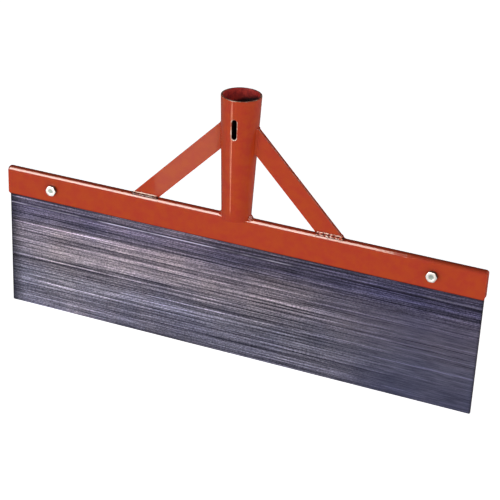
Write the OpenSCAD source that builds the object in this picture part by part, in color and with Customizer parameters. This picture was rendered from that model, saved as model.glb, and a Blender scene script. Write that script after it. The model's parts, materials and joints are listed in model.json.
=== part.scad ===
// Head of a long-handled floor scraper: a steel blade bolted into a folded
// sheet clamp, with a conical handle socket standing on the fold and a flat
// bar brace on either side. X runs along the blade, the bolt heads face -Y
// and Z is up the socket. The origin is the middle of the blade's lower edge.

/* [Blade] */
// Length of the blade, along X
blade_length = 500; // [450:10:800]
// Height of the blade, with the part that is inside the clamp
blade_height = 150; // [100:5:220]
// Thickness of the blade
blade_thickness = 3; // [2:0.5:4]
// Radius of the blade's corners
blade_corner = 0.8; // [0.4:0.1:2]

/* [Clamp] */
// Height of the folded clamp
clamp_height = 30; // [26:1:40]
// Thickness of the clamp's sheet
clamp_sheet = 2.5; // [2:0.5:3]
// Length by which the clamp passes the blade at each end
clamp_overhang = 1; // [0:0.5:3]
// Radius of the clamp's corners
clamp_corner = 2.5; // [1:0.5:4]

/* [Bolts] */
// Distance between the two bolts
bolt_spacing = 400; // [300:10:400]
// Depth of the bolts below the top of the fold
bolt_drop = 16; // [12:1:18]
// Thread diameter
bolt_d = 6; // [5:0.5:7]
// Length of the bolt under its head
bolt_length = 20; // [19:1:24]
// Width of the bolt head and the nut across flats
hex_flats = 10; // [9:0.5:12]

/* [Handle socket] */
// Outer diameter of the socket at its mouth
mouth_d = 39; // [34:0.5:46]
// Outer diameter of the socket at the clamp
base_d = 29; // [24:0.5:32]
// Height of the mouth above the fold
socket_rise = 123.5; // [116:0.5:140]
// Depth by which the socket sits down over the fold
socket_seat = 2; // [1:0.5:3]
// Thickness of the socket's sheet
socket_wall = 2; // [1.5:0.25:2.5]
// Width of the fixing slot
slot_width = 5; // [4:0.5:8]
// Length of the fixing slot, end to end
slot_length = 20; // [14:1:26]
// Height of the slot's middle above the fold
slot_rise = 94.5; // [85:0.5:98]
// Turn of the slot about the socket, from the front
slot_turn = 4; // [0:1:8]

/* [Braces] */
// Width of the flat bar
brace_width = 20; // [16:1:22]
// Thickness of the flat bar
brace_thickness = 4; // [3:0.5:5]
// Slope of the bars from the clamp
brace_angle = 45.5; // [44:0.5:47]
// Distance from the socket's axis to the middle of a bar's foot
brace_foot = 97; // [90:1:100]

/* [Welds] */
// Radius of the round beads at the feet of the braces
foot_bead = 2.2; // [1.5:0.1:2.8]
// Leg of the fillets between the braces and the socket
top_bead = 2.5; // [1.5:0.1:3.5]
// Leg of the fillet at the foot of the socket
socket_bead = 3.4; // [2.5:0.1:4]
// Gap that the socket's seam weld fills
seam_gap = 1.6; // [1:0.1:2]
// Height of the seam weld's root inside the socket
seam_root = 0.5; // [0.2:0.1:0.8]

/* [Hidden] */
$fn = 96;

PAINT = [0.70, 0.25, 0.16];
STEEL = [0.36, 0.35, 0.42];
ZINC = [0.82, 0.84, 0.82];
LEFT = -1;
RIGHT = 1;
FRONT = -1;
BACK = 1;

// A little extra length on a cutter, so that no two faces coincide
over = 1;

// Clamp: the blade reaches up to where the fold starts to round over
clamp_thickness = blade_thickness + 2 * clamp_sheet;
clamp_length = blade_length + 2 * clamp_overhang;
fold_r = clamp_thickness / 2;
clamp_bottom = blade_height - (clamp_height - fold_r);
clamp_top = clamp_bottom + clamp_height;
bolt_z = clamp_top - bolt_drop;
bolt_x = bolt_spacing / 2;

// Play round the bolt's thread in each hole that it passes through
clamp_play = 0.6;
blade_play = 1;
washer_play = 0.4;
spring_play = 0.2;
nut_play = 0.1;

// Fasteners, from front to back
head_height = 4;
hex_corners = hex_flats / cos(30);
hex_chamfer = 30;
bolt_tip = 0.8;
washer_d = 2 * bolt_d;
washer_height = 1.6;
spring_d = washer_d - 0.2;
spring_split = 1.2;
spring_split_lean = 30;
nut_height = 5;

// Socket
socket_bottom = clamp_top - socket_seat;
socket_height = socket_rise + socket_seat;
mouth_r = mouth_d / 2;
base_r = base_d / 2;
socket_slope = atan((mouth_r - base_r) / socket_height);
slot_z = clamp_top + slot_rise;
// Width of the foot fillet where it runs out, up the socket
socket_bead_toe = 0.2;

// Braces: the edges of the bar as lines that climb towards the socket
brace_half = brace_width / 2 / sin(brace_angle);
function brace_edge_z(foot_x, x) = clamp_top + (foot_x - x) * tan(brace_angle);
function socket_r(z) = base_r + tan(socket_slope) * (z - socket_bottom);
// Height at which an edge of the bar meets the socket, and the socket's radius there
brace_reach = (mouth_r + base_r) / 2;
brace_low_z = brace_edge_z(brace_foot - brace_half, brace_reach);
brace_high_z = brace_edge_z(brace_foot + brace_half, brace_reach);

// The outline of the clamp's cross-section: straight sides under a half round
module fold_profile(half, bottom) {
    translate([-half, bottom]) square([2 * half, blade_height - bottom]);
    translate([0, blade_height]) circle(r = half);
}

// The clamp as a solid bar, with nothing inside it
module clamp_bar(length) {
    rotate([90, 0, 90])
        linear_extrude(height = length, center = true)
            fold_profile(fold_r, clamp_bottom);
}

// A plate in the XZ plane with rounded corners
module rounded_plate(length, bottom, top, corner, thickness) {
    rotate([90, 0, 0])
        linear_extrude(height = thickness, center = true) {
            translate([-length / 2, bottom + corner]) square([length, top - bottom - 2 * corner]);
            translate([corner - length / 2, bottom]) square([length - 2 * corner, top - bottom]);
            for (x = [corner - length / 2, length / 2 - corner], z = [bottom + corner, top - corner])
                translate([x, z]) circle(r = corner);
        }
}

// A hole along Y at each bolt
module bolt_holes(d) {
    for (x = [-bolt_x, bolt_x])
        translate([x, 0, bolt_z])
            rotate([90, 0, 0])
                cylinder(h = clamp_thickness + 2 * over, d = d, center = true);
}

// The socket's outside as a solid, made larger or smaller all round
module socket_cone(grow, extra) {
    slope = tan(socket_slope);
    translate([0, 0, socket_bottom - extra])
        cylinder(
            h = socket_height + 2 * extra,
            r1 = base_r + grow - slope * extra,
            r2 = mouth_r + grow + slope * extra
        );
}

module blade_clamp() {
    color(PAINT)
        difference() {
            intersection() {
                clamp_bar(clamp_length);
                rounded_plate(clamp_length, clamp_bottom, clamp_top, clamp_corner, clamp_thickness + over);
            }
            rotate([90, 0, 90])
                linear_extrude(height = clamp_length + 2 * over, center = true)
                    fold_profile(blade_thickness / 2, clamp_bottom - over);
            bolt_holes(bolt_d + clamp_play);
        }
}

module blade() {
    color(STEEL)
        difference() {
            rounded_plate(blade_length, 0, blade_height, blade_corner, blade_thickness);
            bolt_holes(bolt_d + blade_play);
        }
}

// The slot is cut square to the socket's axis, with half-round ends
module fixing_slot() {
    rotate([0, 0, slot_turn])
        translate([0, -mouth_r / 2, slot_z])
            rotate([90, 0, 0])
                linear_extrude(height = mouth_r) {
                    square([slot_width, slot_length - slot_width], center = true);
                    for (side = [-1, 1])
                        translate([0, side * (slot_length - slot_width) / 2]) circle(d = slot_width);
                }
}

// The strip at the back of the socket where the rolled sheet's edges meet
module seam_strip(width) {
    translate([-width / 2, 0, socket_bottom - over])
        cube([width, mouth_r + over, socket_height + 2 * over]);
}

module socket_shell(wall) {
    difference() {
        socket_cone(0, 0);
        socket_cone(-wall, over);
    }
}

module handle_socket() {
    color(PAINT)
        difference() {
            socket_shell(socket_wall);
            fixing_slot();
            seam_strip(seam_gap);
            clamp_bar(mouth_d);
        }
}

// Ground flush outside, with its root standing proud inside
module socket_seam_weld() {
    color(PAINT)
        intersection() {
            socket_shell(socket_wall + seam_root);
            seam_strip(seam_gap);
        }
}

// The bar as it is before its ends are cut to fit
module brace_blank(side) {
    inner_x = base_r / 2;
    foot_z = clamp_top - fold_r;
    sink = fold_r / tan(brace_angle);
    scale([side, 1, 1])
        rotate([90, 0, 0])
            linear_extrude(height = brace_thickness, center = true)
                polygon([
                    [brace_foot + brace_half + sink, foot_z],
                    [brace_foot - brace_half + sink, foot_z],
                    [inner_x, brace_edge_z(brace_foot - brace_half, inner_x)],
                    [inner_x, brace_edge_z(brace_foot + brace_half, inner_x)]
                ]);
}

module brace(side) {
    color(PAINT)
        difference() {
            brace_blank(side);
            clamp_bar(clamp_length);
            socket_cone(0, over);
        }
}

// Fillet across the fold where the socket stands on it
module socket_weld(side) {
    bottom = clamp_top - fold_r;
    color(PAINT)
        difference() {
            translate([0, 0, bottom])
                intersection() {
                    cylinder(
                        h = fold_r + socket_bead,
                        r1 = base_r + socket_bead + fold_r / 2,
                        r2 = base_r + socket_bead_toe
                    );
                    translate([side > 0 ? 0 : -2 * mouth_r, -fold_r, 0])
                        cube([2 * mouth_r, 2 * fold_r, mouth_r]);
                }
            translate([0, 0, bottom - over]) cylinder(h = fold_r + over, r = base_r);
            socket_cone(0, over);
            clamp_bar(clamp_length);
        }
}

// Round bead in the corner between one face of a brace's foot and the fold
module foot_weld(side, face) {
    y = face * brace_thickness / 2;
    z = clamp_top - fold_r + sqrt(fold_r * fold_r - y * y);
    color(PAINT)
        translate([side * brace_foot, 0, 0])
            rotate([90, 0, 90])
                linear_extrude(height = 2 * brace_half, center = true)
                    difference() {
                        translate([y, z]) circle(r = foot_bead);
                        fold_profile(fold_r, clamp_bottom);
                        translate([-brace_thickness / 2, clamp_top - fold_r])
                            square([brace_thickness, 2 * fold_r]);
                    }
}

// Fillet in the corner between one face of a brace and the side of the socket
module top_weld(side, face) {
    y = brace_thickness / 2;
    x = sqrt(pow(socket_r(brace_low_z), 2) - y * y);
    color(PAINT)
        scale([side, face, 1])
            difference() {
                translate([x, y, brace_low_z])
                    rotate([0, socket_slope, 0])
                        linear_extrude(height = (brace_high_z - brace_low_z) / cos(socket_slope))
                            polygon([[-over, 0], [top_bead, 0], [-over, top_bead + over]]);
                socket_cone(0, over);
            }
}

// Puts a piece at both bolts, with its own Z along +Y from the given depth
module at_bolts(y) {
    for (x = [-bolt_x, bolt_x])
        translate([x, y, bolt_z])
            rotate([-90, 0, 0])
                children();
}

// A hexagon with its corners cut back by a cone at its low end, and at its
// high end too if asked
module hexagon(height, chamfer_high) {
    flare = 2 * height / tan(hex_chamfer);
    intersection() {
        cylinder(h = height, d = hex_corners, $fn = 6);
        cylinder(h = height, d1 = hex_flats, d2 = hex_flats + flare);
        if (chamfer_high) cylinder(h = height, d1 = hex_flats + flare, d2 = hex_flats);
        else cylinder(h = height, d = hex_corners + over);
    }
}

module hex_bolts() {
    color(ZINC)
        at_bolts(-fold_r - head_height) {
            hexagon(head_height, false);
            cylinder(h = head_height + bolt_length - bolt_tip, d = bolt_d);
            translate([0, 0, head_height + bolt_length - bolt_tip])
                cylinder(h = bolt_tip, d1 = bolt_d, d2 = bolt_d - 2 * bolt_tip);
        }
}

module flat_washers() {
    color(ZINC)
        at_bolts(fold_r)
            difference() {
                cylinder(h = washer_height, d = washer_d);
                translate([0, 0, -over])
                    cylinder(h = washer_height + 2 * over, d = bolt_d + washer_play);
            }
}

module spring_washers() {
    color(ZINC)
        at_bolts(fold_r + washer_height)
            difference() {
                cylinder(h = washer_height, d = spring_d);
                translate([0, 0, -over])
                    cylinder(h = washer_height + 2 * over, d = bolt_d + spring_play);
                rotate([0, spring_split_lean, 0])
                    translate([-spring_split / 2, 0, -spring_d])
                        cube([spring_split, spring_d, 2 * spring_d]);
            }
}

module hex_nuts() {
    color(ZINC)
        at_bolts(fold_r + 2 * washer_height)
            difference() {
                hexagon(nut_height, true);
                translate([0, 0, -over]) cylinder(h = nut_height + 2 * over, d = bolt_d + nut_play);
            }
}

blade_clamp();
blade();
handle_socket();
socket_seam_weld();
brace(LEFT);  // brace_left
brace(RIGHT);  // brace_right
socket_weld(LEFT);  // socket_weld_left
socket_weld(RIGHT);  // socket_weld_right
foot_weld(LEFT, FRONT);  // foot_weld_left_front
foot_weld(LEFT, BACK);  // foot_weld_left_back
foot_weld(RIGHT, FRONT);  // foot_weld_right_front
foot_weld(RIGHT, BACK);  // foot_weld_right_back
top_weld(LEFT, FRONT);  // top_weld_left_front
top_weld(LEFT, BACK);  // top_weld_left_back
top_weld(RIGHT, FRONT);  // top_weld_right_front
top_weld(RIGHT, BACK);  // top_weld_right_back
hex_bolts();
flat_washers();
spring_washers();
hex_nuts();
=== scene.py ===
"""Floor scraper head: blade, folded clamp, handle socket, braces, welds and bolts.

X runs along the blade, the bolt heads face -Y and Z is up. Lengths are in
millimetres until a mesh is made. Materials, camera, floor and lights are in metres.
"""

import json
import math
import random

import bmesh
import bpy
from mathutils import Matrix, Vector, noise


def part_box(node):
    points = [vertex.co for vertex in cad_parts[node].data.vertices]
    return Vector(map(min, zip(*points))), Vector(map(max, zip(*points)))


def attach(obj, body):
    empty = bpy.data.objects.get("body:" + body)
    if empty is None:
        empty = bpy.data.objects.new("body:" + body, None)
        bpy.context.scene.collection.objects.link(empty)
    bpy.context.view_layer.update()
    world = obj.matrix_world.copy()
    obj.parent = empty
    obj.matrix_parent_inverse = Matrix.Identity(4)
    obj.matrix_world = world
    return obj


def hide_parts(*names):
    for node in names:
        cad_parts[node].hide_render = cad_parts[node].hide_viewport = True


MM = 0.001

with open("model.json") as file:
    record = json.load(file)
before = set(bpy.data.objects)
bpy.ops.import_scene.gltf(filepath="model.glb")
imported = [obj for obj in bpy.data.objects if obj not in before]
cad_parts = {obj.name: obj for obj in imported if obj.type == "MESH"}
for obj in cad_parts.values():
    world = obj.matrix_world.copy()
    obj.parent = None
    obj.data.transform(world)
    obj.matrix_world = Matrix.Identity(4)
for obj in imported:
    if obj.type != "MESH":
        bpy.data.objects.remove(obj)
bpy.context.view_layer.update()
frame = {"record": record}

scene = bpy.context.scene


def box_mm(node):
    """Lowest and highest corner of a CAD node, in millimetres."""
    low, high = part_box(node)
    return low / MM, high / MM


# ---------------------------------------------------------------- sizes

slot_mount = next(mount for mount in frame["record"]["mounts"] if mount["name"] == "handle_fixing_slot")

clamp_low, clamp_high = box_mm("blade_clamp")
blade_low, blade_high = box_mm("blade")
socket_low, socket_high = box_mm("handle_socket")
bolt_low, bolt_high = box_mm("hex_bolts")
washer_low, washer_high = box_mm("flat_washers")
spring_low, spring_high = box_mm("spring_washers")
nut_low, nut_high = box_mm("hex_nuts")

# Clamp: the fold is a half round over the blade's top edge
FOLD_R = clamp_high.y
FOLD_Z = clamp_high.z - FOLD_R
CLAMP_CORNER = 2.5
CLAMP_HOLE = 6.6
SHEET_EDGE = 0.5

# Blade, with a bright line rubbed along it a little below the clamp
BLADE_CORNER = 0.8
BLADE_EDGE = 0.3
BLADE_HOLE = 7.0
RUBBED_DROP = 10.2

# Bolts
BOLT_Z = (bolt_low.z + bolt_high.z) / 2
BOLT_X = 200.0
HEX_FLATS = 10.0
CHAMFER_R = HEX_FLATS / 2 * 0.95
HEX_CORNER_R = HEX_FLATS / 2 * 1.14
THREAD_R = 3.0
THREAD_PITCH = 1.0
THREAD_DEPTH = 0.55

# Socket: a cone, with a seam weld at the back and an upright slot near the front
MOUTH_R = socket_high.x
BASE_R = 14.5
WALL = 2.0
RIM_EDGE = 0.6
SEAM_HALF = 0.8
SLOT_TURN = math.radians(4)
SLOT_Z = slot_mount["pos_m"][2] / MM
SLOT_HALF_WIDTH = 2.5
SLOT_HALF_LENGTH = 10.0
SLOT_EDGE = 0.8

# The socket's mesh: columns from the seam round to the seam and rows from its foot
# to its mouth, finer in a patch round the slot, where rings spread from the slot
SIDE_COLUMNS = 56
PATCH_COLUMNS = 12
PATCH_HALF_WIDTH = 7.0
PATCH_HALF_HEIGHT = 15.0
FOOT_ROWS = 24
PATCH_ROWS = 20
MOUTH_ROWS = 5
SPREADS = (1.0, 0.7, 0.4, 0.15)

# Braces: flat bars, with places along them measured from the fold's top
BRACE_ANGLE = math.radians(45.5)
BRACE_SINE = math.sin(BRACE_ANGLE)
BRACE_COSINE = math.cos(BRACE_ANGLE)
BRACE_FOOT = 97.0
BRACE_HALF_WIDTH = 10.0
BRACE_HALF_THICKNESS = 2.0
BRACE_EDGE = 0.7
BRACE_SUNK = 0.6

# Welds at the braces' feet: neat on the left, with one groove along them, and
# rough on the right, with uneven ripples and spatter
FOOT_LEG = 2.35
NEAT_BEAD = {"spatter": 4, "pitch": 2.1, "lumps": 0.07, "ripples": 0.0, "groove": 0.34}
# Where the neat weld gets painted shade and painted highlights
NEAT_SHADE_AND_HIGHLIGHT = {"hollow": 0.78, "toe": 0.7, "crest": 0.84}
ROUGH_BEAD = {"spatter": 12, "pitch": 5.2, "lumps": 0.14, "ripples": 0.12, "groove": 0.12}
# Where the rough weld gets painted shade and painted highlights
ROUGH_SHADE_AND_HIGHLIGHT = {"hollow": 0.90, "toe": 0.35, "crest": 0.99}


def cone_r(z):
    """Outer radius of the socket at a height."""
    share = (z - socket_low.z) / (socket_high.z - socket_low.z)
    return BASE_R + (MOUTH_R - BASE_R) * share


def wall_depth(place):
    """How deep a place is in the socket's wall."""
    return cone_r(place.z) - math.hypot(place.x, place.y)


def rounding(depth, radius):
    """How far a rounded edge stands back at this depth from the end."""
    if depth >= radius:
        return 0.0
    return radius - math.sqrt(radius * radius - (radius - depth) ** 2)


def steps(start, stop, count):
    """count + 1 even values from start to stop."""
    return [start + (stop - start) * i / count for i in range(count + 1)]


def quarter_turn(count):
    """Distances from the two faces of a rounded edge of radius 1, going round it."""
    return [(1 - math.cos(angle), 1 - math.sin(angle)) for angle in steps(0, math.pi / 2, count)]


def rounded_rectangle(half_width, half_height, radius, count):
    """Pairs round the origin, with count steps to each corner."""
    outline = []
    for i, (side_a, side_b) in enumerate(((1, 1), (-1, 1), (-1, -1), (1, -1))):
        for angle in steps(i * math.pi / 2, (i + 1) * math.pi / 2, count):
            a = side_a * (half_width - radius) + radius * math.cos(angle)
            b = side_b * (half_height - radius) + radius * math.sin(angle)
            outline.append((a, b))
    return outline


# ---------------------------------------------------------------- materials

WHITE = (1, 1, 1)


def new_material(name):
    """A material with its node tree and Principled shader."""
    material = bpy.data.materials.new(name)
    material.use_nodes = True
    tree = material.node_tree
    return material, tree, tree.nodes["Principled BSDF"]


def feed(tree, socket, value):
    """Link an output to a socket, or set the socket to a plain number or colour."""
    if isinstance(value, bpy.types.NodeSocket):
        tree.links.new(value, socket)
    elif isinstance(value, tuple):
        socket.default_value = (*value, 1.0)
    else:
        socket.default_value = value


def place_nodes(tree):
    """Coordinates in the frame, in metres: together, and apart as X, Y and Z."""
    place = tree.nodes.new("ShaderNodeTexCoord").outputs["Object"]
    axes = tree.nodes.new("ShaderNodeSeparateXYZ")
    tree.links.new(place, axes.inputs["Vector"])
    return place, axes.outputs


def mapping_node(tree, source, scale):
    """The source coordinates stretched on each axis."""
    node = tree.nodes.new("ShaderNodeMapping")
    node.inputs["Scale"].default_value = scale
    tree.links.new(source, node.inputs["Vector"])
    return node.outputs["Vector"]


def noise_node(tree, source, scale, detail=3.0, roughness=0.5):
    """Noise over the source coordinates; scale is in features per metre."""
    node = tree.nodes.new("ShaderNodeTexNoise")
    node.inputs["Scale"].default_value = scale
    node.inputs["Detail"].default_value = detail
    node.inputs["Roughness"].default_value = roughness
    tree.links.new(source, node.inputs["Vector"])
    return node.outputs["Fac"]


def math_node(tree, operation, *values):
    """Maths on one to three values, each an output or a plain number."""
    node = tree.nodes.new("ShaderNodeMath")
    node.operation = operation
    for socket, value in zip(node.inputs, values):
        feed(tree, socket, value)
    return node.outputs["Value"]


def share_node(tree, source, low, high):
    """0 at low and 1 at high, held beyond them."""
    node = tree.nodes.new("ShaderNodeMapRange")
    node.inputs["From Min"].default_value = low
    node.inputs["From Max"].default_value = high
    tree.links.new(source, node.inputs["Value"])
    return node.outputs["Result"]


def ramp_node(tree, source, stops):
    """Colour ramp; a stop is a position with a colour or a plain grey."""
    node = tree.nodes.new("ShaderNodeValToRGB")
    elements = node.color_ramp.elements
    while len(elements) < len(stops):
        elements.new(0.5)
    for element, (position, colour) in zip(elements, stops):
        element.position = position
        element.color = (*colour, 1.0) if isinstance(colour, tuple) else (colour, colour, colour, 1.0)
    tree.links.new(source, node.inputs["Fac"])
    return node.outputs["Color"]


def graded(tree, source, low, high, stops):
    """Colour ramp over the source's range from low to high."""
    return ramp_node(tree, share_node(tree, source, low, high), stops)


def mix_node(tree, factor, first, second, blend="MIX"):
    """Mix of two colours; each input is an output or a plain value."""
    node = tree.nodes.new("ShaderNodeMix")
    node.data_type = "RGBA"
    node.blend_type = blend
    # The node has a set of sockets for each data type; these are the colour ones
    for index, value in ((0, factor), (6, first), (7, second)):
        feed(tree, node.inputs[index], value)
    return node.outputs[2]


def times(tree, first, second):
    """Product of two colours."""
    return mix_node(tree, 1.0, first, second, "MULTIPLY")


def bump_node(tree, height, strength, distance, normal=None):
    """Bump from a height; distance is in metres."""
    node = tree.nodes.new("ShaderNodeBump")
    node.inputs["Strength"].default_value = strength
    node.inputs["Distance"].default_value = distance
    tree.links.new(height, node.inputs["Height"])
    if normal is not None:
        tree.links.new(normal, node.inputs["Normal"])
    return node.outputs["Normal"]


def enamel():
    """Orange-red gloss enamel with a faint orange peel, and painted shade along the clamp's lower edge."""
    material, tree, shader = new_material("enamel")
    place, axes = place_nodes(tree)
    cloud = noise_node(tree, place, 110, 5, 0.65)
    colour = ramp_node(tree, cloud, [(0.38, (0.435, 0.033, 0.008)), (0.62, (0.455, 0.047, 0.004))])
    # Painted shade: darker in the lowest 1.3 mm of the clamp, where it overhangs the blade
    low = clamp_low.z * MM
    darkening_and_shade = graded(tree, axes["Z"], low, low + 0.0013, [(0.35, (0.30, 0.20, 0.30)), (1.0, WHITE)])
    shader.inputs["Roughness"].default_value = 0.5
    shader.inputs["Specular IOR Level"].default_value = 0.06
    shader.inputs["Coat Weight"].default_value = 1.0
    shader.inputs["Coat Roughness"].default_value = 0.06
    shader.inputs["Coat IOR"].default_value = 1.6
    peel = bump_node(tree, noise_node(tree, place, 420, 2), 0.25, 0.00008)
    normal = bump_node(tree, noise_node(tree, place, 60, 2), 0.2, 0.0004, peel)
    tree.links.new(times(tree, colour, darkening_and_shade), shader.inputs["Base Color"])
    tree.links.new(normal, shader.inputs["Normal"])
    tree.links.new(normal, shader.inputs["Coat Normal"])
    return material


def spring_steel():
    """Blued spring steel, rolled and brushed along X, with a rubbed line under the clamp."""
    material, tree, shader = new_material("spring_steel")
    place, axes = place_nodes(tree)
    long_lines = mapping_node(tree, place, (0.006, 1, 1))
    lines = noise_node(tree, long_lines, 560, 4, 0.85)
    bands = noise_node(tree, long_lines, 75, 3, 0.6)
    scores = noise_node(tree, mapping_node(tree, place, (0.004, 1, 1.3)), 520, 2, 0.7)
    grain = noise_node(tree, mapping_node(tree, place, (0.05, 1, 1)), 900, 3, 0.75)
    specks = noise_node(tree, mapping_node(tree, place, (0.6, 1, 1)), 750, 2, 0.7)
    patches = noise_node(tree, place, 14, 3)
    left = blade_low.x * MM
    right = blade_high.x * MM

    # Zones up the blade, with their borders drawn out into streaks
    height = math_node(tree, "ADD", axes["Z"], math_node(tree, "MULTIPLY_ADD", bands, 0.035, -0.0175))
    zones = [
        (0.00, (0.156, 0.156, 0.228)),
        (0.30, (0.174, 0.175, 0.246)),
        (0.52, (0.215, 0.196, 0.250)),
        (0.70, (0.204, 0.182, 0.243)),
        (0.78, (0.100, 0.093, 0.155)),
        (0.88, (0.100, 0.090, 0.150)),
        (0.93, (0.138, 0.124, 0.190)),
    ]
    colour = graded(tree, height, 0.0, 0.13, zones)

    # Paler and warmer towards the left, a painted reflection of the light at the left; dark at the very ends
    ends = [
        (0.000, (0.10, 0.10, 0.12)),
        (0.003, (0.25, 0.26, 0.29)),
        (0.028, (1.30, 1.28, 1.22)),
        (0.300, (1.35, 1.30, 1.22)),
        (0.660, (0.98, 0.97, 0.94)),
        (0.800, (0.68, 0.69, 0.79)),
        (0.996, (0.62, 0.63, 0.76)),
        (0.999, (0.28, 0.28, 0.32)),
    ]
    colour = times(tree, colour, graded(tree, axes["X"], left, right, ends))

    # Above the lower part, the middle is the darkest, and the left is paler still, more of the painted
    # reflection
    lower = graded(tree, height, 0.078, 0.095, [(0, 1), (1, 0)])
    upper = [
        (0.00, 1.20),
        (0.34, 1.05),
        (0.52, (0.60, 0.60, 0.62)),
        (0.64, (0.66, 0.66, 0.70)),
        (0.80, (1.00, 1.00, 1.02)),
    ]
    upper = graded(tree, axes["X"], left, right, upper)
    colour = times(tree, colour, mix_node(tree, lower, upper, WHITE))

    # Lines and specks, calm in the lower part's right end
    calm = times(tree, graded(tree, axes["X"], 0.08, 0.18, [(0, 0), (1, 0.88)]), lower)
    streaks = [
        (0.38, (0.18, 0.18, 0.23)),
        (0.45, (0.68, 0.68, 0.70)),
        (0.53, (1.05, 1.04, 1.02)),
        (0.58, (1.46, 1.44, 1.42)),
        (0.64, (2.25, 2.20, 2.20)),
    ]
    sharper = [(0.42, (0.70, 0.70, 0.74)), (0.50, (0.96, 0.96, 0.97)), (0.57, 1.3)]
    dots = [(0.36, (0.58, 0.58, 0.62)), (0.64, (1.5, 1.5, 1.46))]
    for source, stops, quiet in (
        (lines, streaks, (0.95, 0.95, 0.97)),
        (lines, sharper, WHITE),
        (specks, dots, WHITE),
    ):
        colour = times(tree, colour, mix_node(tree, calm, ramp_node(tree, source, stops), quiet))

    # Scores, grain and clouds all over
    marks = [(0.30, (0.15, 0.14, 0.20)), (0.34, WHITE), (0.64, WHITE), (0.67, (1.9, 1.85, 1.9))]
    colour = times(tree, colour, ramp_node(tree, scores, marks))
    shade = [(0.36, (0.66, 0.66, 0.68)), (0.64, (1.36, 1.36, 1.34))]
    colour = times(tree, colour, ramp_node(tree, grain, shade))
    cloud = [(0.35, (0.82, 0.84, 0.92)), (0.65, (1.16, 1.12, 1.06))]
    colour = times(tree, colour, ramp_node(tree, patches, cloud))

    # The line that is rubbed bright a little below the clamp, broken here and there
    line_z = (clamp_low.z - RUBBED_DROP) * MM
    away = math_node(tree, "ABSOLUTE", math_node(tree, "SUBTRACT", axes["Z"], line_z))
    lightened = graded(tree, away, 0.0, 0.0012, [(0.30, 0.9), (0.60, 0)])
    beside = [(0.30, (0.35, 0.34, 0.40)), (0.60, (0.45, 0.44, 0.50)), (1.0, WHITE)]
    beside = times(tree, colour, graded(tree, away, 0.0, 0.0030, beside))
    faded = graded(tree, axes["X"], -0.05, 0.13, [(0, 1), (1, 0.2)])
    gaps = ramp_node(tree, patches, [(0.38, 0.15), (0.50, 1)])
    lightened = times(tree, times(tree, lightened, gaps), faded)
    colour = mix_node(tree, faded, colour, beside)
    colour = mix_node(tree, lightened, colour, (0.78, 0.74, 0.98))

    # Darker along the working edge, and painted shade just under the clamp's edge
    darkening_and_shade = [(0.000, (0.38, 0.38, 0.42)), (0.012, WHITE), (0.975, WHITE), (0.994, (0.30, 0.28, 0.32))]
    darkening_and_shade = graded(tree, axes["Z"], blade_low.z * MM, clamp_low.z * MM, darkening_and_shade)

    shader.inputs["Metallic"].default_value = 0.6
    shader.inputs["Roughness"].default_value = 0.38
    tree.links.new(times(tree, colour, darkening_and_shade), shader.inputs["Base Color"])
    normal = bump_node(tree, grain, 0.8, 0.00006, bump_node(tree, lines, 0.8, 0.00015))
    tree.links.new(normal, shader.inputs["Normal"])
    return material


def zinc():
    """Bright zinc plate, greyer in the dish of a bolt's head, with painted shade on the head's sides."""
    material, tree, shader = new_material("zinc")
    place, axes = place_nodes(tree)
    cloud = noise_node(tree, place, 500, 3)
    colour = ramp_node(tree, cloud, [(0.35, (0.82, 0.81, 0.78)), (0.65, (0.93, 0.90, 0.87))])
    across = math_node(tree, "SUBTRACT", math_node(tree, "ABSOLUTE", axes["X"]), BOLT_X * MM)
    over = math_node(tree, "SUBTRACT", axes["Z"], BOLT_Z * MM)
    squares = math_node(tree, "MULTIPLY_ADD", across, across, math_node(tree, "MULTIPLY", over, over))
    dish = graded(tree, math_node(tree, "SQRT", squares), 0, 0.004, [(0.45, 1), (0.75, 0)])
    colour = mix_node(tree, dish, colour, (0.46, 0.56, 0.53))
    # Painted shade on the sides of the bolt heads, behind their front faces
    front = bolt_low.y * MM
    sides = share_node(tree, axes["Y"], front + 0.0001, front + 0.0007)
    before = share_node(tree, axes["Y"], 0.0005, 0.0)
    darkening_and_shade = math_node(tree, "MULTIPLY", sides, before)
    shader.inputs["Metallic"].default_value = 0.7
    shader.inputs["Roughness"].default_value = 0.52
    tree.links.new(mix_node(tree, darkening_and_shade, colour, (0.120, 0.075, 0.060)), shader.inputs["Base Color"])
    tree.links.new(bump_node(tree, cloud, 0.3, 0.00005), shader.inputs["Normal"])
    return material


def highlight_enamel(name, lightened):
    """Pale enamel in patches, paler towards the front: painted highlights, in more and larger patches as the
    second argument goes up from 0 to 0.2.
    """
    material, tree, shader = new_material(name)
    place, axes = place_nodes(tree)
    # Painted highlight: paler towards the front, where the lights are
    forward = math_node(tree, "MULTIPLY_ADD", axes["Y"], -5, lightened)
    highlight_share = math_node(tree, "ADD", noise_node(tree, place, 260, 3), forward)
    stops = [
        (0.42, (0.30, 0.030, 0.020)),
        (0.52, (0.45, 0.10, 0.05)),
        (0.60, (0.55, 0.27, 0.17)),
        (0.70, (0.85, 0.66, 0.54)),
    ]
    shader.inputs["Roughness"].default_value = 0.3
    tree.links.new(ramp_node(tree, highlight_share, stops), shader.inputs["Base Color"])
    return material


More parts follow.
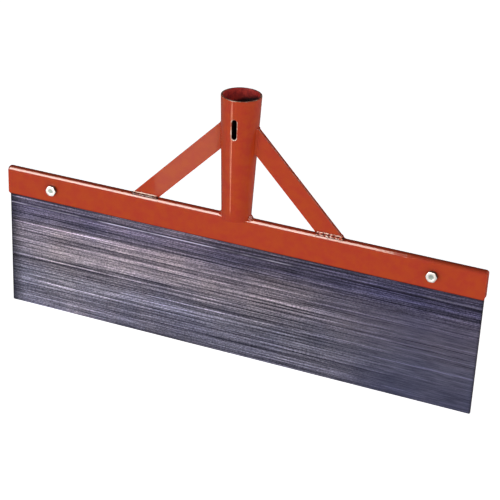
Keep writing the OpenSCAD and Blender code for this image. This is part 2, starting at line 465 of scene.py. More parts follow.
def inside_painted_light_and_shadow():
    """Blotchy enamel inside the socket's mouth, painted brighter and redder than the outside to stand in for
    light, with a painted shadow below that reaches higher towards +X.
    """
    material, tree, shader = new_material("inside_painted_light_and_shadow")
    place, axes = place_nodes(tree)
    blotches = noise_node(tree, place, 240, 4, 0.65)
    colour = ramp_node(tree, blotches, [(0.38, (0.66, 0.050, 0.052)), (0.60, (0.94, 0.090, 0.070))])
    # Painted shadow: near black below the mouth, reaching higher towards +X
    slanted = math_node(tree, "MULTIPLY_ADD", axes["X"], -0.33, axes["Z"])
    ragged = math_node(tree, "MULTIPLY_ADD", blotches, 0.004, slanted)
    mouth = socket_high.z * MM
    reach = graded(tree, ragged, mouth - 0.0085, mouth - 0.0045, [(0, 0), (1, 1)])
    shader.inputs["Roughness"].default_value = 0.45
    shader.inputs["Specular IOR Level"].default_value = 0.15
    tree.links.new(mix_node(tree, reach, (0.045, 0.018, 0.024), colour), shader.inputs["Base Color"])
    tree.links.new(bump_node(tree, blotches, 0.5, 0.0003), shader.inputs["Normal"])
    return material


def weld_painted_shade():
    """Painted shade: near-black colour for the hollows and toe of a weld."""
    material, tree, shader = new_material("weld_painted_shade")
    place, _ = place_nodes(tree)
    patches = noise_node(tree, place, 900, 3)
    colour = ramp_node(tree, patches, [(0.40, (0.018, 0.007, 0.006)), (0.62, (0.10, 0.018, 0.008))])
    shader.inputs["Roughness"].default_value = 0.7
    shader.inputs["Specular IOR Level"].default_value = 0.05
    tree.links.new(colour, shader.inputs["Base Color"])
    tree.links.new(bump_node(tree, patches, 0.5, 0.0002), shader.inputs["Normal"])
    return material


ENAMEL = enamel()
# Painted highlights: on the socket's slot lip and rim top, and on the foot welds' crests
HIGHLIGHT_ENAMEL = highlight_enamel("highlight_enamel", 0.0)
CREST_HIGHLIGHT_ENAMEL = highlight_enamel("crest_highlight_enamel", 0.18)
INSIDE_PAINTED_LIGHT_AND_SHADOW = inside_painted_light_and_shadow()
WELD_SHADE = weld_painted_shade()
STEEL = spring_steel()
ZINC = zinc()


# ---------------------------------------------------------------- meshes


def new_object(name, points, faces):
    """Mesh object from millimetre points, with no doubled points and its faces outwards."""
    mesh = bpy.data.meshes.new(name)
    mesh.from_pydata([point * MM for point in points], [], faces)
    work = bmesh.new()
    work.from_mesh(mesh)
    bmesh.ops.remove_doubles(work, verts=work.verts, dist=0.002 * MM)
    bmesh.ops.dissolve_degenerate(work, edges=work.edges, dist=0.001 * MM)
    bmesh.ops.recalc_face_normals(work, faces=work.faces)
    work.to_mesh(mesh)
    work.free()
    made = bpy.data.objects.new(name, mesh)
    scene.collection.objects.link(made)
    return made


def make_piece(name, points, faces, material, slot, nodes, sharp_angle=35):
    """Piece in place of CAD nodes; edges that turn by more than sharp_angle degrees are hard."""
    piece = new_object(name, points, faces)
    finish_shading(piece, material, sharp_angle)
    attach(piece, "root")
    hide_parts(*nodes)
    return piece


def finish_shading(piece, material, sharp_angle=35):
    """Smooth shading with flat faces kept flat and hard edges kept sharp."""
    mesh = piece.data
    mesh.shade_smooth()
    mesh.set_sharp_from_angle(angle=math.radians(sharp_angle))
    mesh.materials.clear()
    mesh.materials.append(material)
    modifier = piece.modifiers.new("flat_faces", "WEIGHTED_NORMAL")
    modifier.keep_sharp = True


def paint_faces(piece, choices):
    """Other materials on some faces: each has a test of a face's centre in millimetres."""
    for index, (material, test) in enumerate(choices, 1):
        piece.data.materials.append(material)
        for polygon in piece.data.polygons:
            if polygon.material_index == 0 and test(polygon.center / MM):
                polygon.material_index = index


def loft(rings, caps=True, closed=False):
    """Points and quads through rings of equal length; closed joins last to first."""
    count = len(rings[0])
    points = [point for ring in rings for point in ring]
    faces = []
    for k in range(len(rings) if closed else len(rings) - 1):
        low = k * count
        high = (k + 1) % len(rings) * count
        for i in range(count):
            j = (i + 1) % count
            faces.append((low + i, low + j, high + j, high + i))
    if caps and not closed:
        faces.append(tuple(range(count))[::-1])
        faces.append(tuple(range(len(points) - count, len(points))))
    return points, faces


def join_parts(parts):
    """One list of points and faces from several."""
    points = []
    faces = []
    for part_points, part_faces in parts:
        start = len(points)
        points += part_points
        faces += [tuple(i + start for i in face) for face in part_faces]
    return points, faces


def fixed(radius, y):
    """A row with the same radius all round."""
    return lambda angle: (radius, y)


def turned(rows, closed=True, count=120):
    """Rings round the Y axis; each row is a function from angle to (radius, y)."""
    rings = []
    for row in rows:
        ring = []
        for angle in steps(0, math.tau, count)[:-1]:
            radius, y = row(angle)
            ring.append(Vector((radius * math.cos(angle), y, radius * math.sin(angle))))
        rings.append(ring)
    return loft(rings, closed=closed)


def at_bolts(part):
    """A part made round the Y axis, put at both bolts."""
    points, faces = part
    bolts = (Vector((-BOLT_X, 0, BOLT_Z)), Vector((BOLT_X, 0, BOLT_Z)))
    return join_parts([([point + bolt for point in points], faces) for bolt in bolts])


def cut_bolt_holes(piece, diameter, material):
    """Real holes along Y at both bolts."""
    rows = [fixed(diameter / 2, y) for y in (-2 * FOLD_R, 2 * FOLD_R)]
    cutter = new_object("cutter", *at_bolts(turned(rows, closed=False, count=64)))
    piece.modifiers.clear()
    modifier = piece.modifiers.new("holes", "BOOLEAN")
    modifier.operation = "DIFFERENCE"
    modifier.solver = "EXACT"
    modifier.object = cutter
    graph = bpy.context.evaluated_depsgraph_get()
    holed = bpy.data.meshes.new_from_object(piece.evaluated_get(graph))
    piece.modifiers.clear()
    piece.data = holed
    bpy.data.objects.remove(cutter)
    finish_shading(piece, material)


# ---------------------------------------------------------------- clamp and blade


def fold_path(half, low, squash):
    """Up the front, over the half round and down the back."""
    path = [(-half, z) for z in steps(low, FOLD_Z, 8)[:-1]]
    for angle in steps(math.pi, 0, 32):
        path.append((half * math.cos(angle), FOLD_Z + half * math.sin(angle) * squash))
    path += [(half, z) for z in steps(FOLD_Z, low, 8)[1:]]
    return path


def lip(first, second, low, radius):
    """Rounded lower edge of the sheet between two faces, without its end points."""
    side = 1 if second > first else -1
    turn = [(side * radius * across, low + radius * up) for across, up in quarter_turn(5)[1:]]
    points = [(first + across, z) for across, z in turn]
    return points + [(second - across, z) for across, z in turn[::-1]]


def clamp_ring(x):
    """Cross-section of the folded sheet, drawn in towards either end."""
    depth = clamp_high.x - abs(x)
    inset = rounding(depth, SHEET_EDGE)
    drop = rounding(depth, CLAMP_CORNER)
    low = clamp_low.z + drop + inset
    radius = max(SHEET_EDGE - inset, SHEET_EDGE / 10)
    squash = (FOLD_R - drop) / FOLD_R
    outer = FOLD_R - inset
    inner = blade_high.y + inset
    front_to_back = fold_path(outer, low + radius, squash)
    back_to_front = fold_path(inner, low + radius, squash)[::-1]
    ring = front_to_back + lip(outer, inner, low, radius)
    ring += back_to_front + lip(-inner, -outer, low, radius)
    return [Vector((x, y, z)) for y, z in ring]


def clamp_stations():
    """Places along the clamp, close together at the rounded ends."""
    half = clamp_high.x
    turn = quarter_turn(7)
    ends = [SHEET_EDGE * across for across, _ in turn]
    ends += [CLAMP_CORNER * across for across, _ in turn if CLAMP_CORNER * across > SHEET_EDGE]
    inner = half - ends[-1]
    return [d - half for d in ends] + steps(-inner, inner, 60)[1:-1] + [half - d for d in ends[::-1]]


def build_clamp():
    """Folded sheet, with its ends closed from face to face and over both lips."""
    points, faces = loft([clamp_ring(x) for x in clamp_stations()], caps=False)
    count = len(clamp_ring(0))
    path = len(fold_path(FOLD_R, clamp_low.z, 1))
    lip_count = (count - 2 * path) // 2
    for start in (0, len(points) - count):
        for i in range(path - 1):
            across = 2 * path + lip_count - 1 - i
            faces.append((start + i, start + i + 1, start + across - 1, start + across))
        back = [start + i for i in range(path - 1, path + lip_count + 1)]
        front = [start + i for i in range(2 * path + lip_count - 1, count)] + [start]
        faces += [tuple(back), tuple(front)]
    piece = make_piece("clamp_sheet", points, faces, ENAMEL, "paint", ["blade_clamp"])
    cut_bolt_holes(piece, CLAMP_HOLE, ENAMEL)


def plate_ring(y, inset):
    """Outline of the blade, or inset from it, at this depth."""
    middle_z = (blade_low.z + blade_high.z) / 2
    half_height = (blade_high.z - blade_low.z) / 2
    outline = rounded_rectangle(blade_high.x - inset, half_height - inset, BLADE_CORNER - inset, 6)
    return [Vector((x, y, middle_z + z)) for x, z in outline]


def build_blade():
    """Flat plate with rounded edges, made as its front half and that half's mirror."""
    turn = quarter_turn(5)
    front = [plate_ring(blade_low.y + BLADE_EDGE * y, BLADE_EDGE * inset) for inset, y in turn]
    back = [[Vector((point.x, -point.y, point.z)) for point in ring] for ring in front]
    piece = make_piece("blade_plate", *loft(front[::-1] + back), STEEL, "blade_steel", ["blade"])
    cut_bolt_holes(piece, BLADE_HOLE, STEEL)


# ---------------------------------------------------------------- socket


def around_cone(angle, z, depth):
    """Point in the socket's wall; angle 0 is the front, positive towards +X."""
    radius = cone_r(z) - depth
    return Vector((radius * math.sin(angle), -radius * math.cos(angle), z))


def slot_angle(u, z, depth):
    """Angle at this distance across from the slot's middle."""
    return SLOT_TURN + math.asin(u / (cone_r(z) - depth))


def nearest_on_slot(u, z):
    """Nearest point of the slot's outline and the direction away from it."""
    straight = SLOT_HALF_LENGTH - SLOT_HALF_WIDTH
    centre_z = SLOT_Z + max(-straight, min(straight, z - SLOT_Z))
    away = Vector((u, z - centre_z)).normalized()
    return Vector((0, centre_z)) + away * SLOT_HALF_WIDTH, away


def on_slot_lip(place):
    """True on the rounded outer edge of the slot."""
    angle = math.atan2(place.x, -place.y) - SLOT_TURN
    if abs(angle) > 0.5 or abs(place.z - SLOT_Z) > PATCH_HALF_HEIGHT:
        return False
    u = math.hypot(place.x, place.y) * math.sin(angle)
    near, away = nearest_on_slot(u, place.z)
    beyond = (Vector((u, place.z)) - near).dot(away)
    return beyond < SLOT_EDGE * 1.02 and wall_depth(place) < SLOT_EDGE * 0.95


def socket_profile():
    """(z, depth) pairs up the outside, over the rim, down the inside and round the foot."""
    low = socket_low.z
    high = socket_high.z
    patch_low = SLOT_Z - PATCH_HALF_HEIGHT
    patch_high = SLOT_Z + PATCH_HALF_HEIGHT
    rows = steps(low + RIM_EDGE, patch_low, FOOT_ROWS)[:-1]
    rows += steps(patch_low, patch_high, PATCH_ROWS)
    rows += steps(patch_high, high - RIM_EDGE, MOUTH_ROWS)[1:]
    outside = [(z, 0.0) for z in rows]
    inside = [(z, WALL) for z in rows[::-1]]
    turn = [(high - RIM_EDGE * down, RIM_EDGE * across) for across, down in quarter_turn(5)[1:]]
    top = turn + [(z, WALL - depth) for z, depth in turn[::-1]]
    bottom = [(low + high - z, WALL - depth) for z, depth in top]
    return outside, top, inside, bottom


def socket_column(i, z, depth):
    """Point in column i, counted from one side of the seam round to the other."""
    seam = math.pi - math.asin(SEAM_HALF / (cone_r(z) - depth))
    left = slot_angle(-PATCH_HALF_WIDTH, z, depth)
    right = slot_angle(PATCH_HALF_WIDTH, z, depth)
    if i <= SIDE_COLUMNS:
        return around_cone(-seam + (left + seam) * i / SIDE_COLUMNS, z, depth)
    i -= SIDE_COLUMNS
    if i <= PATCH_COLUMNS:
        u = PATCH_HALF_WIDTH * (2 * i / PATCH_COLUMNS - 1)
        return around_cone(slot_angle(u, z, depth), z, depth)
    i -= PATCH_COLUMNS
    return around_cone(right + (seam - right) * i / SIDE_COLUMNS, z, depth)


def slot_ring(border, spread, depth, off=SLOT_EDGE):
    """Ring that stands off the slot's outline at spread 0 and is the border at spread 1."""
    ring = []
    for u, z in border:
        near, away = nearest_on_slot(u, z)
        place = (near + away * off).lerp(Vector((u, z)), spread)
        ring.append(around_cone(slot_angle(place.x, place.y, depth), place.y, depth))
    return ring


def slot_surface(heights):
    """The wall round the slot, from the border outside through the slot to the one inside."""
    across = steps(-PATCH_HALF_WIDTH, PATCH_HALF_WIDTH, PATCH_COLUMNS)
    border = [(u, heights[0]) for u in across[:-1]]
    border += [(across[-1], z) for z in heights[:-1]]
    border += [(u, heights[-1]) for u in across[:0:-1]]
    border += [(across[0], z) for z in heights[:0:-1]]
    turn = [(SLOT_EDGE * depth, SLOT_EDGE * off) for depth, off in quarter_turn(5)]
    rings = [slot_ring(border, spread, 0.0) for spread in SPREADS]
    rings += [slot_ring(border, 0, depth, off) for depth, off in turn]
    rings += [slot_ring(border, 0, WALL - depth, off) for depth, off in turn[::-1]]
    rings += [slot_ring(border, spread, WALL) for spread in SPREADS[::-1]]
    return loft(rings, caps=False)


def build_socket():
    """Rolled cone, open at both ends, with a hole in its grid of faces for the slot."""
    outside, top, inside, bottom = socket_profile()
    profile = outside + top + inside + bottom
    count = len(profile)
    columns = range(2 * SIDE_COLUMNS + PATCH_COLUMNS + 1)
    points, faces = loft([[socket_column(i, z, depth) for z, depth in profile] for i in columns])

    def row_of(place):
        return place if place < len(outside) else count - len(bottom) - 1 - place

    # The hole starts at the row next below the patch's rows
    first_row = FOOT_ROWS - 1
    last_row = first_row + PATCH_ROWS
    kept = []
    for face in faces:
        face_columns = [i // count for i in face]
        face_rows = [row_of(i % count) for i in face]
        in_columns = SIDE_COLUMNS <= min(face_columns) and max(face_columns) <= SIDE_COLUMNS + PATCH_COLUMNS
        in_rows = first_row <= min(face_rows) and max(face_rows) <= last_row
        if not (in_columns and in_rows):
            kept.append(face)

    heights = [z for z, _ in outside[first_row : last_row + 1]]
    points, faces = join_parts([(points, kept), slot_surface(heights)])
    piece = make_piece("socket_tube", points, faces, ENAMEL, "paint", ["handle_socket"])
    # Painted highlights on the slot's lip and along the rim's top; inside the wall, enamel with painted light
    # and painted shadow
    rim_highlight_z = socket_high.z - RIM_EDGE * 0.4
    choices = [
        (HIGHLIGHT_ENAMEL, lambda place: on_slot_lip(place) or place.z > rim_highlight_z),
        (INSIDE_PAINTED_LIGHT_AND_SHADOW, lambda place: wall_depth(place) > WALL * 0.8),
    ]
    paint_faces(piece, choices)


def build_seam():
    """Weld along the back of the socket: nearly flush outside, a rippled root inside."""
    half_angle = 1.3 / MOUTH_R
    sunk = 0.4
    pitch = 1.7
    end_gap = 0.3
    rings = []
    for z in steps(socket_low.z + end_gap, socket_high.z - end_gap, 300):
        ripple = abs(math.sin(math.pi * z / pitch))
        uneven = noise.noise(Vector((0, 0, z * 0.21)))
        fade = min(1.0, (socket_high.z - z) / 8)
        crown = (0.10 + 0.06 * ripple + 0.05 * uneven) * fade
        root = 0.32 + 0.14 * ripple + 0.12 * uneven
        ring = []
        for share in steps(-1, 1, 8):
            outside = sunk - (sunk + crown) * (1 - share**2)
            ring.append(around_cone(math.pi + share * half_angle, z, outside))
        for share in steps(1, -1, 8):
            inside = WALL - sunk + (sunk + root) * (1 - share**2)
            ring.append(around_cone(math.pi + share * half_angle, z, inside))
        rings.append(ring)
    piece = make_piece("seam_bead", *loft(rings), ENAMEL, "paint", ["socket_seam_weld"], 60)
    # The root inside the socket gets the inside enamel, with its painted light and painted shadow
    paint_faces(piece, [(INSIDE_PAINTED_LIGHT_AND_SHADOW, lambda place: wall_depth(place) > WALL / 2)])


# ---------------------------------------------------------------- braces


def brace_end(w, y, sunk=0.0):
    """Length of the bar to the socket at an offset across its width and thickness.

    Also the x and z there. Each round comes closer, since the socket is nearly upright.
    """
    length = 100.0
    for _ in range(6):
        z = clamp_high.z + w * BRACE_COSINE + length * BRACE_SINE
        x = math.sqrt((cone_r(z) - sunk) ** 2 - y * y)
        length = (BRACE_FOOT + w * BRACE_SINE - x) / BRACE_COSINE
    return length, x, z


def build_brace(side, name):
    """Flat bar whose ends are sunk a little into the fold and the socket."""
    section = rounded_rectangle(BRACE_HALF_WIDTH, BRACE_HALF_THICKNESS, BRACE_EDGE, 5)
    rings = []
    for share in steps(0, 1, 30):
        ring = []
        for w, y in section:
            foot_z = FOLD_Z + math.sqrt(FOLD_R * FOLD_R - y * y) - BRACE_SUNK
            start = (foot_z - clamp_high.z - w * BRACE_COSINE) / BRACE_SINE
            end, _, _ = brace_end(w, y, BRACE_SUNK)
            length = start + (end - start) * share
            x = BRACE_FOOT + w * BRACE_SINE - length * BRACE_COSINE
            z = clamp_high.z + w * BRACE_COSINE + length * BRACE_SINE
            ring.append(Vector((side * x, y, z)))
        rings.append(ring)
    make_piece(name, *loft(rings), ENAMEL, "paint", [name])


# ---------------------------------------------------------------- welds


def fillet(path, leg, power, pitch, seed, lumps, ripples, blunt=0.25, groove=0.0):
    """Bead in a corner. path holds (corner, first side, second side) per station.

    Its section is round at power 1 and flat at 2, and goes on a little into both parts.
    Ripples are a pitch apart. Its ends taper to the share blunt of its leg. A groove
    along its middle makes it two runs.
    """
    buried = 0.35
    rings = []
    travelled = 0.0
    length = sum((b[0] - a[0]).length for a, b in zip(path, path[1:]))
    for k, (corner, first, second) in enumerate(path):
        if k:
            travelled += (corner - path[k - 1][0]).length
        end = min(travelled, length - travelled)
        taper = math.sqrt(max(0.0, 1 - max(0.0, 1 - end / leg) ** 2)) * (1 - blunt) + blunt
        ring = []
        for angle in steps(-buried, math.pi / 2 + buried, 28):
            crescent = 0.45 * math.sin(2 * angle)
            ripple = abs(math.sin(math.pi * (travelled / pitch + crescent)))
            lump = noise.noise(Vector((travelled * 0.45, angle * 0.8, seed)))
            dip = math.exp(-(((angle - math.pi / 4) / 0.27) ** 2))
            reach = leg * taper * (0.92 + ripples * ripple + lumps * lump - groove * dip)
            along = math.copysign(abs(math.cos(angle)) ** power, math.cos(angle))
            up = math.copysign(abs(math.sin(angle)) ** power, math.sin(angle))
            ring.append(corner + first * (reach * along) + second * (reach * up))
        ring.append(corner - (first + second) * 0.5)
        rings.append(ring)
    return loft(rings)


def droplet(centre, radius, seed):
    """Spatter: a small round lump half sunk in the surface."""
    work = bmesh.new()
    bmesh.ops.create_icosphere(work, subdivisions=2, radius=radius)
    points = []
    for vertex in work.verts:
        uneven = 1 + 0.2 * noise.noise(vertex.co * 2 / radius + Vector((seed, 0, 0)))
        points.append(centre + vertex.co * uneven)
    faces = [tuple(v.index for v in face.verts) for face in work.faces]
    work.free()
    return points, faces


def foot_weld_legs(face):
    """Corner of a brace's foot weld, and its sides down the fold and up the brace.

    The sides are for a leg of 1, and are shorter on the fold than on the brace.
    """
    lean = BRACE_HALF_THICKNESS / FOLD_R
    rise = math.sqrt(1 - lean * lean)
    corner = Vector((0, face * BRACE_HALF_THICKNESS, FOLD_Z + FOLD_R * rise))
    down = Vector((0, face * rise, -lean)) * 0.58
    return corner, down, Vector((0, face * 0.15, 1)).normalized() * 1.35


def foot_weld(side, face, seed, spatter, pitch, lumps, ripples, groove):
    """Two runs between a brace's foot and the fold, with a little spatter beside them."""
    half = BRACE_HALF_WIDTH / BRACE_SINE
    # The front bead goes a little past the bar's ends, the back one stops short of them
    past_end = 0.6 if face < 0 else -1.4
    corner, down, up = foot_weld_legs(face)
    path = []
    for x in steps(-half - past_end, half + past_end, 150):
        path.append((corner + Vector((side * (BRACE_FOOT + x), 0, 0)), down, up))
    parts = [fillet(path, FOOT_LEG, 1.1, pitch, seed, lumps, ripples, groove=groove)]

    # Spatter on the fold, then on the bar above the bead
    chance = random.Random(seed)
    for _ in range(spatter):
        x = BRACE_FOOT + chance.uniform(-half - 5, half + 5)
        tilt = chance.uniform(0.6, 1.35)
        centre = Vector((side * x, face * FOLD_R * math.sin(tilt), FOLD_Z + FOLD_R * math.cos(tilt)))
        parts.append(droplet(centre, chance.uniform(0.25, 0.55), seed))
    for _ in range(spatter // 2):
        x = BRACE_FOOT + chance.uniform(-half + 2, half - 4)
        centre = corner + Vector((side * x, 0, chance.uniform(FOOT_LEG, FOOT_LEG + 1.5)))
        parts.append(droplet(centre, chance.uniform(0.4, 0.8), seed))
    return join_parts(parts)


def paint_weld_shade_and_highlights(piece, face, hollow, toe, crest):
    """Painted shade in a foot weld's hollows and along its toe, and painted highlights on its crests.

    As shares of the leg, a hollow is nearer the corner than hollow and a crest is further
    from it than crest. toe is how far up the brace the toe is dark.
    """
    corner, down, up = foot_weld_legs(face)
    cross = down.y * up.z - down.z * up.y
    bead = FOOT_LEG * 1.1

    def height_and_reach(place):
        offset = place - corner
        along = (offset.y * up.z - offset.z * up.y) / cross
        rise = (down.y * offset.z - down.z * offset.y) / cross
        return rise, math.hypot(along, rise)

    def in_painted_shade(place):
        rise, reach = height_and_reach(place)
        return reach < FOOT_LEG * hollow or (rise < toe and reach < bead)

    def in_painted_highlight(place):
        return FOOT_LEG * crest < height_and_reach(place)[1] < bead

    paint_faces(piece, [(WELD_SHADE, in_painted_shade), (CREST_HIGHLIGHT_ENAMEL, in_painted_highlight)])


def top_weld(side, face, seed):
    """Bead up the corner between a brace's face and the socket."""
    path = []
    for w in steps(-BRACE_HALF_WIDTH, BRACE_HALF_WIDTH, 90):
        _, x, z = brace_end(w, BRACE_HALF_THICKNESS)
        corner = Vector((side * x, face * BRACE_HALF_THICKNESS, z))
        tangent = Vector((-side * BRACE_HALF_THICKNESS, face * x, 0)) / cone_r(z)
        path.append((corner, Vector((side, 0, 0)), tangent))
    return fillet(path, leg=1.7, power=1.6, pitch=1.9, seed=seed, lumps=0.08, ripples=0.05, blunt=0.04)


def socket_weld(side, seed):
    """Bead over the fold at the foot of the socket."""
    path = []
    for tilt in steps(-1.25, 1.25, 60):
        y = FOLD_R * math.sin(tilt)
        z = FOLD_Z + FOLD_R * math.cos(tilt)
        x = math.sqrt(BASE_R * BASE_R - y * y)
        out = Vector((0, math.sin(tilt), math.cos(tilt)))
        up = (out + Vector((side * 0.04, 0, 0.6))).normalized()
        path.append((Vector((side * x, y, z)), Vector((side, 0, 0)), up))
    return fillet(path, leg=3.2, power=1.9, pitch=2.2, seed=seed, lumps=0.10, ripples=0.10)


def build_welds():
    """Every bead but the seam's, each with its own seed."""
    seed = 1
    for side, side_name, bead, scale in (
        (-1, "left", NEAT_BEAD, NEAT_SHADE_AND_HIGHLIGHT),
        (1, "right", ROUGH_BEAD, ROUGH_SHADE_AND_HIGHLIGHT),
    ):
        for face, face_name in ((-1, "front"), (1, "back")):
            node = f"foot_weld_{side_name}_{face_name}"
            piece = make_piece(node, *foot_weld(side, face, seed, **bead), ENAMEL, "paint", [node], 70)
            # Painted shade in the weld's hollows and toe, and painted highlights on its crests
            paint_weld_shade_and_highlights(piece, face, **scale)
            node = f"top_weld_{side_name}_{face_name}"
            make_piece(node, *top_weld(side, face, seed + 20), ENAMEL, "paint", [node], 70)
            seed += 1
        node = f"socket_weld_{side_name}"
        make_piece(node, *socket_weld(side, seed + 40), ENAMEL, "paint", [node], 70)


# ---------------------------------------------------------------- fasteners


def hex_r(angle):
    """Radius of the hexagon, flats up and down, with its corners just broken."""
    turn = angle % (math.pi / 3) - math.pi / 6
    return min(HEX_FLATS / 2 / math.cos(turn), HEX_CORNER_R)


def hexagon(y, inset=0.0):
    """A row along the hexagon's sides, or inset from them."""
    return lambda angle: (hex_r(angle) - inset, y)


def chamfered(y, towards):
    """A row where a 30 degree cone that starts at CHAMFER_R meets the hexagon's sides."""

    def row(angle):
        radius = hex_r(angle)
        return radius, y + towards * max(0.0, radius - CHAMFER_R) * math.tan(math.pi / 6)

    return row


def thread_r(angle, y):
    """Radius of a right-hand thread, with flats at crest and root."""
    turn = (y / THREAD_PITCH - angle / math.tau) % 1.0
    height = (abs(2 * turn - 1) - 0.12) / 0.70
    return THREAD_R - 0.02 - THREAD_DEPTH * (1 - max(0.0, min(1.0, height)))


def thread_row(y, tip):
    """A row of the thread, which is chamfered at the bolt's tip."""
    limit = THREAD_R - max(0.0, y - (tip - 0.8))

    def row(angle):
        return min(thread_r(angle, y), limit), y

    return row


def build_bolts():
    """Bolts with a shallow dish in the head, a plain shank to the blade and then a thread."""
    front = bolt_low.y
    seat = -FOLD_R
    tip = bolt_high.y
    dish = ((0.02, 0.28), (2.2, 0.26), (2.7, 0.16), (3.1, 0.02), (3.3, 0))
    rows = [fixed(radius, front + depth) for radius, depth in dish]
    rows += [fixed(CHAMFER_R - 0.2, front), fixed(CHAMFER_R, front + 0.04), chamfered(front, 1)]
    rows += [hexagon(seat - 0.25), hexagon(seat - 0.05, 0.2), fixed(HEX_FLATS / 2 * 0.96, seat)]
    rows += [fixed(THREAD_R - 0.1, y) for y in (seat, blade_high.y)]
    rows += [thread_row(y, tip) for y in steps(blade_high.y + 0.3, tip, 150)]
    rows += [fixed(0.02, tip)]
    points, faces = at_bolts(turned(rows, closed=False))
    make_piece("bolt_pair", points, faces, ZINC, "zinc_plate", ["hex_bolts"], 32)


def build_nuts():
    """Nuts, chamfered on both faces outside and in the bore."""
    low = nut_low.y
    high = nut_high.y
    bore = THREAD_R + 0.05
    low_bevel = 0.35
    high_bevel = 0.45
    rows = [fixed(bore + low_bevel, low), fixed(CHAMFER_R, low), chamfered(low, 1)]
    rows += [chamfered(high, -1), fixed(CHAMFER_R, high), fixed(bore + high_bevel, high)]
    rows += [fixed(bore, high - high_bevel), fixed(bore, low + low_bevel)]
    make_piece("nut_pair", *at_bolts(turned(rows)), ZINC, "zinc_plate", ["hex_nuts"], 28)


def washer_corners(inner, outer, low, high, edge):
    """(radius, y) round a washer's section, with its edges broken."""
    corners = [(outer - edge, low), (outer, low + edge), (outer, high - edge), (outer - edge, high)]
    corners += [(inner + edge, high), (inner, high - edge), (inner, low + edge), (inner + edge, low)]
    return corners


def build_washers():
    """Flat washers, and spring washers with a slanted split at the top."""
    outer = (washer_high.z - washer_low.z) / 2
    corners = washer_corners(THREAD_R + 0.2, outer, washer_low.y, washer_high.y, 0.12)
    part = turned([fixed(radius, y) for radius, y in corners])
    make_piece("washer_pair", *at_bolts(part), ZINC, "zinc_plate", ["flat_washers"], 28)

    outer = (spring_high.z - spring_low.z) / 2
    corners = washer_corners(THREAD_R + 0.1, outer, spring_low.y, spring_high.y, 0.15)
    middle = (spring_low.y + spring_high.y) / 2
    split = 0.6 / outer
    lean = math.tan(math.pi / 6) / outer
    rings = []
    for angle in steps(math.pi / 2 + split, math.pi / 2 + math.tau - split, 100):
        ring = []
        for radius, y in corners:
            turn = angle + (y - middle) * lean
            ring.append(Vector((radius * math.cos(turn), y, radius * math.sin(turn))))
        rings.append(ring)
    make_piece("spring_washer_pair", *at_bolts(loft(rings)), ZINC, "zinc_plate", ["spring_washers"], 28)


build_clamp()
build_blade()
build_socket()
build_seam()
build_brace(-1, "brace_left")
build_brace(1, "brace_right")
build_welds()
build_bolts()
build_nuts()
build_washers()


# ---------------------------------------------------------------- camera


def build_camera():
    """Camera in front, above and to the right, rolled a little."""
    azimuth = math.radians(21.7)
    elevation = math.radians(26.6)
    roll = math.radians(2.8)
    distance = 1.5172
    aim = Vector((0.0204, -0.0112, 0.1256))
    level = Vector((math.cos(azimuth), math.sin(azimuth), 0))
    outward = Vector((math.sin(azimuth), -math.cos(azimuth), 0))
    back = outward * math.cos(elevation) + Vector((0, 0, math.sin(elevation)))
    upright = back.cross(level)
    right = level * math.cos(roll) + upright * math.sin(roll)
    up = upright * math.cos(roll) - level * math.sin(roll)
    camera = bpy.data.objects.new("camera", bpy.data.cameras.new("camera"))
    scene.collection.objects.link(camera)
    camera.data.sensor_width = 36
    camera.data.lens = 113.58
    camera.data.clip_start = 0.05
    camera.data.clip_end = 100
    turn = Matrix((right, up, back)).transposed().to_4x4()
    camera.matrix_world = Matrix.Translation(aim + back * distance) @ turn
    scene.camera = camera


# ---------------------------------------------------------------- floor and light


def area_light(name, place, target, size, radiance, colour=WHITE):
    """Rectangular light that the camera doesn't see, as bright as its radiance at any size."""
    data = bpy.data.lights.new(name, "AREA")
    data.shape = "RECTANGLE"
    width, height = size
    data.size = width
    data.size_y = height
    data.energy = radiance * math.pi * width * height
    data.color = colour
    light = bpy.data.objects.new(name, data)
    scene.collection.objects.link(light)
    light.location = place
    light.rotation_mode = "QUATERNION"
    light.rotation_quaternion = (Vector(target) - Vector(place)).to_track_quat("-Z", "Y")
    light.visible_camera = False
    return light


def build_floor():
    """Pale floor just under the blade."""
    half = 8.0
    z = -0.0002
    corners = [(-half, -half, z), (half, -half, z), (half, half, z), (-half, half, z)]
    mesh = bpy.data.meshes.new("floor")
    mesh.from_pydata(corners, [], [(0, 1, 2, 3)])
    floor = bpy.data.objects.new("floor", mesh)
    scene.collection.objects.link(floor)
    material, _, shader = new_material("pale_floor")
    shader.inputs["Base Color"].default_value = (0.9, 0.9, 0.9, 1)
    shader.inputs["Roughness"].default_value = 0.9
    shader.inputs["Specular IOR Level"].default_value = 0.1
    shader.inputs["Emission Color"].default_value = (1, 1, 1, 1)
    shader.inputs["Emission Strength"].default_value = 0.95
    mesh.materials.append(material)
    floor.visible_glossy = False


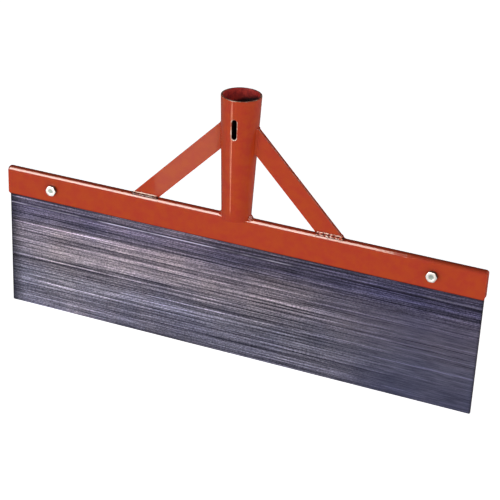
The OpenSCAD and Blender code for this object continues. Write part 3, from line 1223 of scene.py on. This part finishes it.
def build_world():
    """White behind the object; in reflections a dim room, paler below than above."""
    world = bpy.data.worlds.new("studio")
    scene.world = world
    world.use_nodes = True
    tree = world.node_tree
    seen = tree.nodes["Background"]
    seen.inputs["Color"].default_value = (1, 1, 1, 1)
    path = tree.nodes.new("ShaderNodeLightPath")
    direction = tree.nodes.new("ShaderNodeTexCoord").outputs["Generated"]
    height = tree.nodes.new("ShaderNodeSeparateXYZ")
    tree.links.new(direction, height.inputs["Vector"])
    above = share_node(tree, height.outputs["Z"], -0.15, 0.05)
    mirrored = math_node(tree, "MULTIPLY_ADD", above, -0.10, 0.16)
    mirrored = math_node(tree, "MULTIPLY", mirrored, path.outputs["Is Glossy Ray"])
    room = tree.nodes.new("ShaderNodeBackground")
    room.inputs["Color"].default_value = (0.95, 1.0, 1.0, 1)
    tree.links.new(math_node(tree, "MAXIMUM", mirrored, 0.08), room.inputs["Strength"])
    mix = tree.nodes.new("ShaderNodeMixShader")
    tree.links.new(path.outputs["Is Camera Ray"], mix.inputs["Fac"])
    tree.links.new(room.outputs["Background"], mix.inputs[1])
    tree.links.new(seen.outputs["Background"], mix.inputs[2])
    tree.links.new(mix.outputs["Shader"], tree.nodes["World Output"].inputs["Surface"])


def build_lights():
    """Reflections from the front, fills at both sides, and a fill and a reflection behind."""
    middle = (0, 0, 0.13)
    softbox = area_light("softbox", (-0.505, -0.87, 0.65), (-0.505, 0, 0.15), (0.8, 1.1), 10, (1, 0.95, 0.84))
    softbox.visible_diffuse = False
    strip = area_light("strip", (-0.0495, -0.1045, 0.168), (0, 0, 0.168), (0.011, 0.125), 6, (1, 0.55, 0.38))
    strip.visible_diffuse = False
    area_light("card", (-0.177, -0.274, 0.075), (-0.03, 0, 0.2), (0.075, 0.085), 0.7, (1, 1, 0.75))
    area_light("left_fill", (-1.25, -2.0, 0.55), middle, (1.4, 1.4), 3.35)
    area_light("right_fill", (1.8, -1.5, 0.50), middle, (1.4, 1.4), 2.4)
    back_fill = area_light("back_fill", (1.35, 1.6, 0.35), middle, (1.2, 1.0), 2.6)
    back_fill.visible_glossy = False
    back_softbox = area_light("back_softbox", (1.02, 0.52, 1.05), (0, 0, 0.15), (0.45, 0.35), 8)
    back_softbox.visible_diffuse = False


build_camera()
build_floor()
build_world()
build_lights()
scene.view_settings.view_transform = "Standard"
